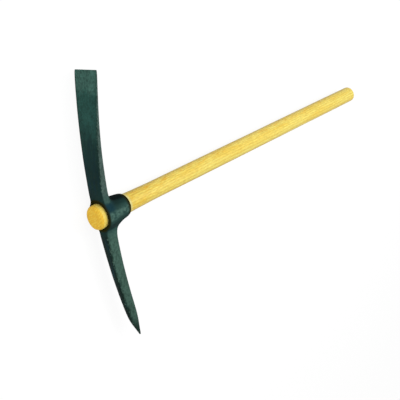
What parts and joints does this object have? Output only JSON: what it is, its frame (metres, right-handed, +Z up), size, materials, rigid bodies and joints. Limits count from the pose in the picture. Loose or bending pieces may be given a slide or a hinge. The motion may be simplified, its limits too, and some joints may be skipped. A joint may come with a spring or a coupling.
{
  "type": "pick mattock",
  "caption": "Pick mattock: a dark green forged head with a wide cutting blade and a point, on a long yellow ash handle that fills its tapered oval eye.",
  "frame": {"origin": "on the ground, below the middle of the tool's box: the tool lies on its flat side", "axes": "+X runs along the handle from the head to the grip, +Y is the blade's side and -Y the point's, +Z is up, out of the flat side of the tool"},
  "size_m": [0.9, 0.55, 0.0611],
  "materials": {
    "green_paint": "satin dark green paint over forged steel",
    "yellow_ash": "satin yellow varnish over ash"
  },
  "bodies": {
    "handle": {"handle": "yellow_ash"},
    "head": {"head": "green_paint"}
  },
  "joints": [
    {"name": "head_slide", "type": "slide", "parent": "handle", "child": "head", "axis": [1, 0, 0], "range_m": [0, 0.9]}
  ]
}
